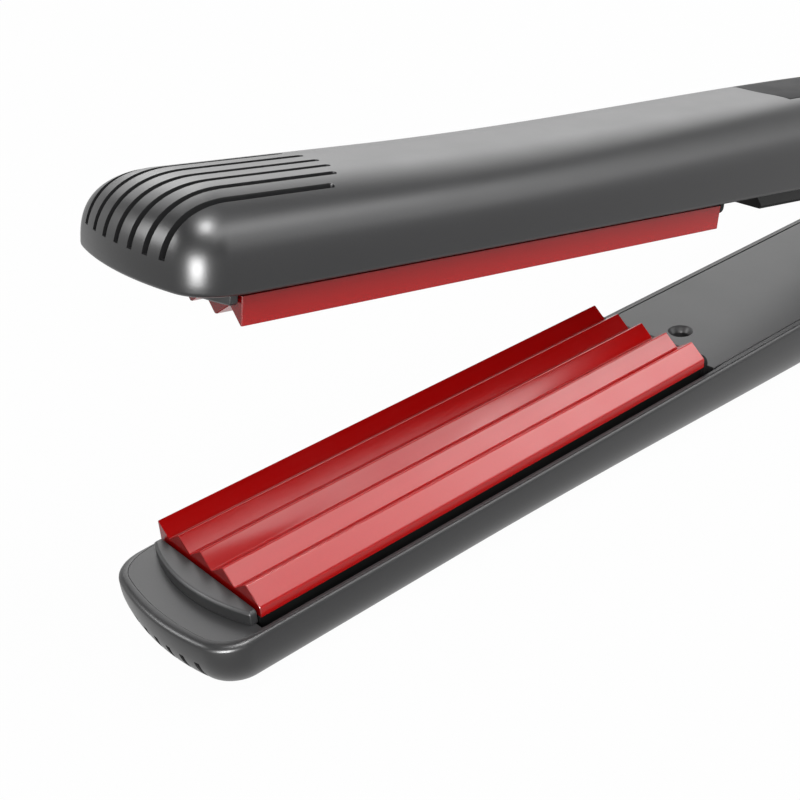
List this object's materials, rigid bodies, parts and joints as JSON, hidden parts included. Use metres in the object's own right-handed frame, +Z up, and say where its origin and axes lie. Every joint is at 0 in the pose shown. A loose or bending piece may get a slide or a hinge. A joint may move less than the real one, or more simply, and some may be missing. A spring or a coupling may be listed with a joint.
{
  "type": "hair crimper",
  "caption": "Spring-opened hand-held hair crimper: two grey swelling arms with vented noses, red ridged plates, rear hinge, cord socket and power button.",
  "frame": {"origin": "centre of the bounding box in X and Y, on the plane that the crimper lies on", "axes": "+X from the noses along the crimper to the hinge and the cord socket, +Y across the arms, +Z up; the lower arm lies on its nose and grip"},
  "size_m": [0.2398, 0.029, 0.0686],
  "materials": {
    "casing_plastic": "satin, fine grain",
    "deck_plastic": "satin",
    "black_plastic": "satin",
    "gloss_black": "gloss",
    "crimp_coating": "satin ceramic coating on aluminium",
    "ceramic": "fired ceramic",
    "mica": "pressed mica",
    "spring_steel": "bright",
    "screw_steel": "zinc plated",
    "silicone": "matt",
    "fuse_sleeve": "glass-fibre sleeve",
    "connector_plastic": "matt",
    "slip_plastic": "waxy",
    "circuit_board": "lacquered fibreglass",
    "lamp_resin": "clear",
    "lens_red": "clear"
  },
  "bodies": {
    "lower_arm": {"lower_casing": "casing_plastic", "lower_deck": "deck_plastic", "lower_grip_cover": "deck_plastic", "lower_end_block": "deck_plastic", "lower_plate_holder": "black_plastic", "lower_crimp_plate": "crimp_coating", "lower_heater": "ceramic", "lower_mica_sheet": "mica", "lower_heater_clip": "spring_steel", "lower_thermal_fuse": "fuse_sleeve", "lower_leads": "silicone", "lower_cover_screws": "screw_steel", "lead_connector": "connector_plastic", "hinge_knuckle": "black_plastic", "hinge_washers": "slip_plastic", "opening_spring": "spring_steel"},
    "upper_arm": {"hinge_pin": "spring_steel", "upper_casing": "casing_plastic", "upper_deck": "deck_plastic", "upper_grip_cover": "black_plastic", "upper_end_block": "deck_plastic", "upper_plate_holder": "black_plastic", "upper_crimp_plate": "crimp_coating", "upper_heater": "ceramic", "upper_mica_sheet": "mica", "upper_heater_clip": "spring_steel", "upper_thermal_fuse": "fuse_sleeve", "upper_leads": "silicone", "upper_cover_screws": "screw_steel", "hinge_fork": "casing_plastic", "hinge_caps": "gloss_black", "control_panel": "gloss_black", "control_board": "circuit_board", "push_switch": "spring_steel", "indicator_lamp": "lamp_resin", "indicator_lens": "lens_red"},
    "power_button": {"power_button": "casing_plastic"},
    "cord_bush": {"cord_bush": "black_plastic"}
  },
  "joints": [
    {"name": "arm_hinge", "type": "hinge", "parent": "lower_arm", "child": "upper_arm", "pos_m": [0.10045, 0, 0.0201], "axis": [0, -1, 0], "range_deg": [0, 10.67], "stiffness_Nm_per_rad": 1.1, "springref_deg": -13.75, "deforming": ["opening_spring"]},
    {"name": "button_press", "type": "slide", "parent": "upper_arm", "child": "power_button", "axis": [-0.1605, 0, -0.987], "range_m": [0, 0.0006], "stiffness_N_per_m": 800, "springref_m": -0.0006},
    {"name": "cord_swivel", "type": "hinge", "parent": "lower_arm", "child": "cord_bush", "pos_m": [0.11445, 0, 0.02045], "axis": [0.9997, 0, 0.025], "continuous": true}
  ]
}
